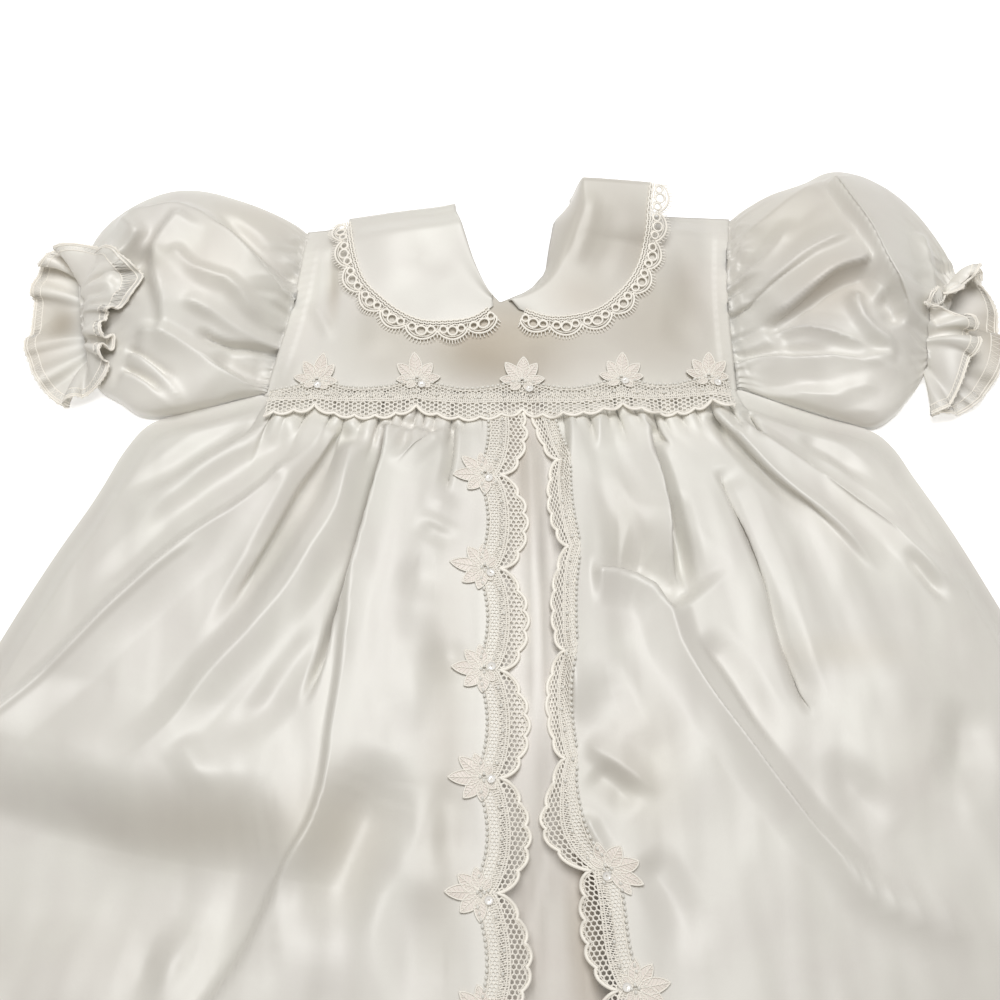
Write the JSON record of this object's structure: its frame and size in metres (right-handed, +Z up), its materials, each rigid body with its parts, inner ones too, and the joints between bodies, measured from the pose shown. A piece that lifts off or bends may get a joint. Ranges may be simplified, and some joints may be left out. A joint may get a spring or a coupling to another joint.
{
  "type": "christening gown",
  "caption": "Long ivory satin christening gown laid on its back: flat collar, puff sleeves, waist lace and a gathered open overskirt with lace front edges over an underskirt.",
  "frame": {"origin": "middle of the waist seam, on the surface that the gown lies on", "axes": "+X to the right of the picture, which is the wearer's left; +Y to the neck, the hem lies to -Y; +Z up, out of the front of the gown"},
  "size_m": [0.788, 0.7385, 0.0402],
  "materials": {
    "satin": "ivory satin with a soft sheen",
    "lining": "ivory underskirt satin, a little duller",
    "lace": "ivory guipure lace with small pearl beads"
  },
  "bodies": {
    "root": {"overskirt_back": "satin", "overskirt_front_left": "satin", "overskirt_front_right": "satin", "underskirt_back": "lining", "underskirt_front": "lining", "bodice_front": "satin", "bodice_back_left": "satin", "bodice_back_right": "satin", "collar_left": "satin", "collar_right": "satin", "collar_lace_left": "lace", "collar_lace_right": "lace", "sleeve_left": "satin", "sleeve_right": "satin", "cuff_ruffle_left": "satin", "cuff_ruffle_right": "satin", "cuff_lace_left": "lace", "cuff_lace_right": "lace", "waist_lace": "lace", "overskirt_lace_left": "lace", "overskirt_lace_right": "lace"}
  },
  "joints": []
}
